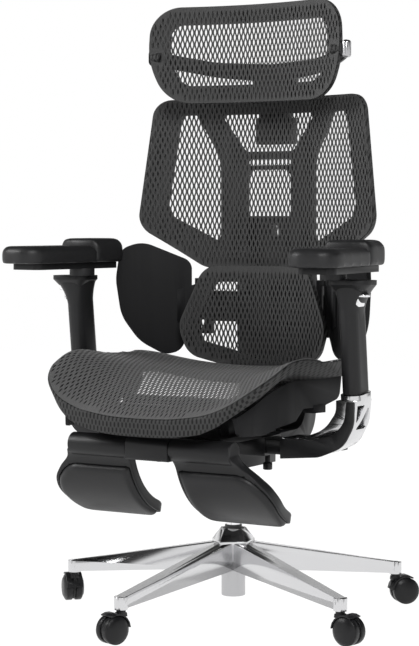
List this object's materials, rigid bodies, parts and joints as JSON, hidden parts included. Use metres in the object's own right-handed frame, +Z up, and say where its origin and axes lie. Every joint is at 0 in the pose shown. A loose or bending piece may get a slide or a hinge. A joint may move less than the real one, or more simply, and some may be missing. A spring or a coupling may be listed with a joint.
{
  "type": "reclining office chair with footrest",
  "caption": "Swivel office chair on casters with mesh seat and wrapped back, hinged headrest, sliding armrests, recline and a fold-out footrest under the seat.",
  "frame": {"origin": "on the swivel axis at floor level", "axes": "+Z up, the sitter faces -Y, the sitter's left hand is at +X"},
  "size_m": [0.7492, 0.7423, 1.212],
  "materials": {
    "polished_aluminium": "polished",
    "chrome": "bright chrome",
    "satin_steel": "satin",
    "spring_steel": "oiled",
    "black_steel": "satin black paint",
    "cast_black": "black paint over die casting",
    "bush_plastic": "moulded",
    "black_plastic": "fine moulded grain",
    "mesh_fabric": "open elastic mesh",
    "cushion_skin": "smooth black upholstery",
    "arm_pad_foam": "soft skinned foam",
    "caster_nylon": "black nylon"
  },
  "bodies": {
    "base": {"star_base": "polished_aluminium", "stand_tube": "satin_steel", "tube_bush": "bush_plastic", "thrust_bearing": "satin_steel"},
    "lift_rod": {"piston_rod": "satin_steel"},
    "mechanism": {"pressure_tube": "chrome", "tilt_housing": "cast_black", "housing_cover": "black_steel", "recline_shaft": "satin_steel", "tilt_springs": "spring_steel", "arm_beam": "black_steel", "arm_bracket_left": "polished_aluminium", "arm_bracket_right": "polished_aluminium", "arm_trim_left": "black_plastic", "arm_trim_right": "black_plastic", "arm_post_left": "black_steel", "arm_post_right": "black_steel"},
    "tension_knob": {"tension_knob": "black_plastic"},
    "height_lever": {"height_lever": "black_plastic"},
    "recline_lever": {"recline_lever": "black_plastic"},
    "seat_carrier": {"seat_carrier": "black_steel"},
    "seat": {"seat_shell": "black_plastic", "seat_frame": "black_plastic", "seat_mesh": "mesh_fabric", "footrest_guide": "black_plastic"},
    "footrest_carriage": {"footrest_carriage": "black_plastic"},
    "footrest_left": {"footrest_shell_left": "black_plastic", "footrest_cushion_left": "cushion_skin"},
    "footrest_right": {"footrest_shell_right": "black_plastic", "footrest_cushion_right": "cushion_skin"},
    "back": {"back_spine": "black_steel", "lumbar_carrier": "black_plastic"},
    "upper_back": {"back_frame": "black_plastic", "back_mesh": "mesh_fabric", "headrest_bracket": "black_plastic"},
    "lumbar": {"lumbar_frame": "black_plastic", "lumbar_mesh": "mesh_fabric"},
    "wing_left": {"wing_left": "black_plastic"},
    "wing_right": {"wing_right": "black_plastic"},
    "headrest_support": {"headrest_yoke": "black_plastic"},
    "headrest": {"headrest_frame": "black_plastic", "headrest_mesh": "mesh_fabric"},
    "caster_1_fork": {"caster_1_fork": "black_plastic"},
    "caster_1_wheels": {"caster_1_wheels": "caster_nylon"},
    "caster_2_fork": {"caster_2_fork": "black_plastic"},
    "caster_2_wheels": {"caster_2_wheels": "caster_nylon"},
    "caster_3_fork": {"caster_3_fork": "black_plastic"},
    "caster_3_wheels": {"caster_3_wheels": "caster_nylon"},
    "caster_4_fork": {"caster_4_fork": "black_plastic"},
    "caster_4_wheels": {"caster_4_wheels": "caster_nylon"},
    "caster_5_fork": {"caster_5_fork": "black_plastic"},
    "caster_5_wheels": {"caster_5_wheels": "caster_nylon"},
    "arm_sleeve_left": {"arm_sleeve_left": "black_plastic"},
    "arm_tray_left": {"arm_tray_left": "black_plastic"},
    "arm_pad_left": {"arm_pad_left": "arm_pad_foam"},
    "arm_trigger_left": {"arm_trigger_left": "chrome"},
    "arm_sleeve_right": {"arm_sleeve_right": "black_plastic"},
    "arm_tray_right": {"arm_tray_right": "black_plastic"},
    "arm_pad_right": {"arm_pad_right": "arm_pad_foam"},
    "arm_trigger_right": {"arm_trigger_right": "chrome"}
  },
  "joints": [
    {"name": "caster_1_swivel", "type": "hinge", "parent": "base", "child": "caster_1_fork", "pos_m": [-0.16673, 0.30203, 0.07], "axis": [0, 0, 1], "continuous": true},
    {"name": "caster_1_roll", "type": "hinge", "parent": "caster_1_fork", "child": "caster_1_wheels", "pos_m": [-0.17673, 0.31936, 0.027], "axis": [-0.866, -0.5, 0], "continuous": true},
    {"name": "caster_2_swivel", "type": "hinge", "parent": "base", "child": "caster_2_fork", "pos_m": [-0.33878, -0.06524, 0.07], "axis": [0, 0, 1], "continuous": true},
    {"name": "caster_2_roll", "type": "hinge", "parent": "caster_2_fork", "child": "caster_2_wheels", "pos_m": [-0.35292, -0.0511, 0.027], "axis": [-0.7071, -0.7071, 0], "continuous": true},
    {"name": "caster_3_swivel", "type": "hinge", "parent": "base", "child": "caster_3_fork", "pos_m": [-0.04264, -0.34236, 0.07], "axis": [0, 0, 1], "continuous": true},
    {"name": "caster_3_roll", "type": "hinge", "parent": "caster_3_fork", "child": "caster_3_wheels", "pos_m": [-0.04948, -0.36115, 0.027], "axis": [0.9397, -0.342, 0], "continuous": true},
    {"name": "caster_4_swivel", "type": "hinge", "parent": "base", "child": "caster_4_fork", "pos_m": [0.31242, -0.14635, 0.07], "axis": [0, 0, 1], "continuous": true},
    {"name": "caster_4_roll", "type": "hinge", "parent": "caster_4_fork", "child": "caster_4_wheels", "pos_m": [0.33212, -0.14982, 0.027], "axis": [0.1736, 0.9848, 0], "continuous": true},
    {"name": "caster_5_swivel", "type": "hinge", "parent": "base", "child": "caster_5_fork", "pos_m": [0.23573, 0.25191, 0.07], "axis": [0, 0, 1], "continuous": true},
    {"name": "caster_5_roll", "type": "hinge", "parent": "caster_5_fork", "child": "caster_5_wheels", "pos_m": [0.24987, 0.26605, 0.027], "axis": [-0.7071, 0.7071, 0], "continuous": true},
    {"name": "chair_swivel", "type": "hinge", "parent": "base", "child": "lift_rod", "pos_m": [0, 0, 0.06], "axis": [0, 0, 1], "continuous": true},
    {"name": "lift_height", "type": "slide", "parent": "lift_rod", "child": "mechanism", "axis": [0, 0, 1], "range_m": [0, 0.08]},
    {"name": "tension_knob_turn", "type": "hinge", "parent": "mechanism", "child": "tension_knob", "pos_m": [0, -0.078, 0.29], "axis": [0, 0, 1], "range_deg": [0, 720]},
    {"name": "height_lever_pull", "type": "hinge", "parent": "mechanism", "child": "height_lever", "pos_m": [0, -0.02, 0.345], "axis": [-1, 0, 0], "range_deg": [0, 10], "stiffness_Nm_per_rad": 2, "springref_deg": -5.73},
    {"name": "recline_lever_pull", "type": "hinge", "parent": "mechanism", "child": "recline_lever", "pos_m": [0, 0.02, 0.345], "axis": [-1, 0, 0], "range_deg": [0, 10], "stiffness_Nm_per_rad": 2, "springref_deg": -5.73},
    {"name": "back_recline", "type": "hinge", "parent": "mechanism", "child": "back", "pos_m": [0, 0.055, 0.34], "axis": [-1, 0, 0], "range_deg": [0, 32], "stiffness_Nm_per_rad": 70, "springref_deg": -20.05},
    {"name": "seat_tilt", "type": "hinge", "parent": "mechanism", "child": "seat_carrier", "pos_m": [0, -0.1, 0.388], "axis": [-1, 0, 0], "range_deg": [0, 8]},
    {"name": "seat_depth", "type": "slide", "parent": "seat_carrier", "child": "seat", "axis": [0, -1, 0], "range_m": [0, 0.05]},
    {"name": "footrest_slide", "type": "slide", "parent": "seat", "child": "footrest_carriage", "axis": [0, -1, 0], "range_m": [0, 0.11]},
    {"name": "footrest_left_flip", "type": "hinge", "parent": "footrest_carriage", "child": "footrest_left", "pos_m": [0, -0.302, 0.36], "axis": [-1, 0, 0], "range_deg": [0, 120]},
    {"name": "footrest_right_flip", "type": "hinge", "parent": "footrest_carriage", "child": "footrest_right", "pos_m": [0, -0.302, 0.36], "axis": [-1, 0, 0], "range_deg": [0, 120]},
    {"name": "back_height", "type": "slide", "parent": "back", "child": "upper_back", "axis": [0, 0, 1], "range_m": [0, 0.05]},
    {"name": "lumbar_give", "type": "slide", "parent": "back", "child": "lumbar", "axis": [0, 1, 0], "range_m": [0, 0.01], "stiffness_N_per_m": 2500, "springref_m": -0.004},
    {"name": "wing_left_give", "type": "hinge", "parent": "back", "child": "wing_left", "pos_m": [0.15, 0.114, 0.605], "axis": [0, 0, 1], "range_deg": [0, 20], "stiffness_Nm_per_rad": 6, "springref_deg": -8.59},
    {"name": "wing_right_give", "type": "hinge", "parent": "back", "child": "wing_right", "pos_m": [-0.15, 0.114, 0.605], "axis": [0, 0, -1], "range_deg": [0, 20], "stiffness_Nm_per_rad": 6, "springref_deg": -8.59},
    {"name": "headrest_height", "type": "slide", "parent": "upper_back", "child": "headrest_support", "axis": [0, 0, 1], "range_m": [0, 0.05]},
    {"name": "headrest_tilt", "type": "hinge", "parent": "headrest_support", "child": "headrest", "pos_m": [0, 0.04, 1.111], "axis": [1, 0, 0], "range_deg": [-15, 15]},
    {"name": "arm_height_left", "type": "slide", "parent": "mechanism", "child": "arm_sleeve_left", "axis": [0, -0.1132, 0.9936], "range_m": [0, 0.08]},
    {"name": "arm_yaw_left", "type": "hinge", "parent": "arm_sleeve_left", "child": "arm_tray_left", "pos_m": [0.281, -0.118, 0.68], "axis": [0, 0, 1], "range_deg": [-15, 15]},
    {"name": "arm_pad_slide_left", "type": "slide", "parent": "arm_tray_left", "child": "arm_pad_left", "axis": [0.1045, -0.9945, 0], "range_m": [0, 0.05]},
    {"name": "arm_trigger_pull_left", "type": "slide", "parent": "arm_sleeve_left", "child": "arm_trigger_left", "axis": [0, 0, 1], "range_m": [0, 0.0035], "stiffness_N_per_m": 600, "springref_m": -0.002},
    {"name": "arm_height_right", "type": "slide", "parent": "mechanism", "child": "arm_sleeve_right", "axis": [0, -0.1132, 0.9936], "range_m": [0, 0.08]},
    {"name": "arm_yaw_right", "type": "hinge", "parent": "arm_sleeve_right", "child": "arm_tray_right", "pos_m": [-0.281, -0.118, 0.68], "axis": [0, 0, 1], "range_deg": [-15, 15]},
    {"name": "arm_pad_slide_right", "type": "slide", "parent": "arm_tray_right", "child": "arm_pad_right", "axis": [-0.1045, -0.9945, 0], "range_m": [0, 0.05]},
    {"name": "arm_trigger_pull_right", "type": "slide", "parent": "arm_sleeve_right", "child": "arm_trigger_right", "axis": [0, 0, 1], "range_m": [0, 0.0035], "stiffness_N_per_m": 600, "springref_m": -0.002}
  ],
  "couplings": [
    {"joint": "seat_tilt", "follows": "back_recline", "ratio": 0.25}
  ]
}
